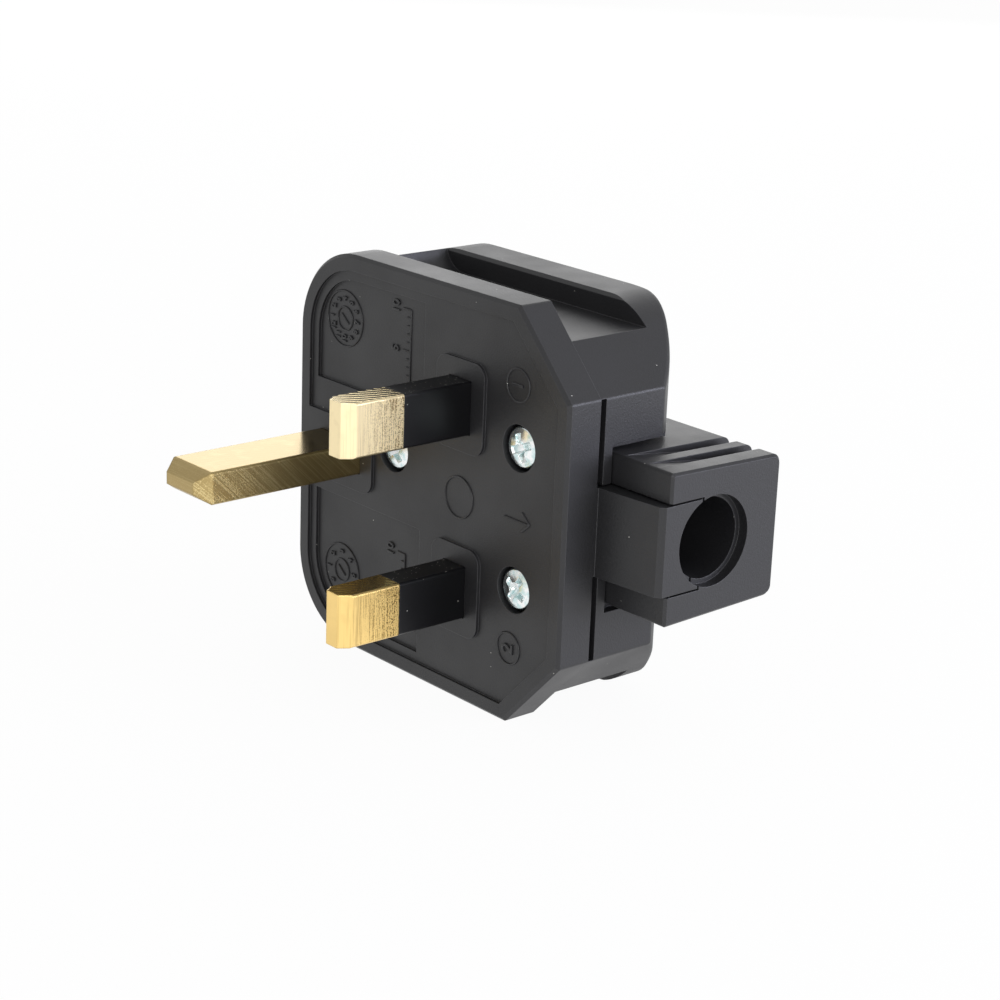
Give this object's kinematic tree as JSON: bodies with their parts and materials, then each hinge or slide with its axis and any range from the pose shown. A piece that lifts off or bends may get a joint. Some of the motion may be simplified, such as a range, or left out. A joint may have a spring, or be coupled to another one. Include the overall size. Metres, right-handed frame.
{
  "type": "british three-pin mains plug",
  "caption": "Rewirable British mains plug: sleeved brass pins on a flat face, black body with finger recesses at the sides, and a side outlet with a screw-down cord grip.",
  "frame": {"origin": "on the engagement face, midway between the line and neutral pins", "axes": "+X from the earth pin to the cord outlet, +Y from the pin face to the back so that the pins point to -Y, +Z from the line pin to the neutral pin, up as it lies on its side"},
  "size_m": [0.0584, 0.0472, 0.0494],
  "materials": {
    "moulded_black": "moulded, fine satin grain",
    "sleeve_black": "smooth moulded sleeve",
    "pin_brass": "milled",
    "clip_bronze": "rolled spring strip",
    "zinc_steel": "bright zinc plate",
    "fuse_ceramic": "glazed ceramic",
    "cap_nickel": "drawn, nickel plated",
    "fuse_wire": "tinned wire",
    "fibre": "punched fibre"
  },
  "bodies": {
    "root": {"base": "moulded_black", "cover": "moulded_black", "cord_grip_yoke": "moulded_black", "neutral_pin_sleeve": "sleeve_black", "line_pin_sleeve": "sleeve_black", "earth_pin": "pin_brass", "neutral_pin": "pin_brass", "line_pin": "pin_brass", "line_terminal": "pin_brass", "cord_grip_inserts": "pin_brass", "cover_screw_insert": "pin_brass", "line_pin_fuse_clip": "clip_bronze", "line_terminal_fuse_clip": "clip_bronze", "cord_grip_screws": "zinc_steel", "cover_screw": "zinc_steel", "terminal_screws": "zinc_steel", "fuse_tube": "fuse_ceramic", "fuse_caps": "cap_nickel", "fuse_element": "fuse_wire", "cover_screw_washer": "fibre"}
  },
  "joints": []
}
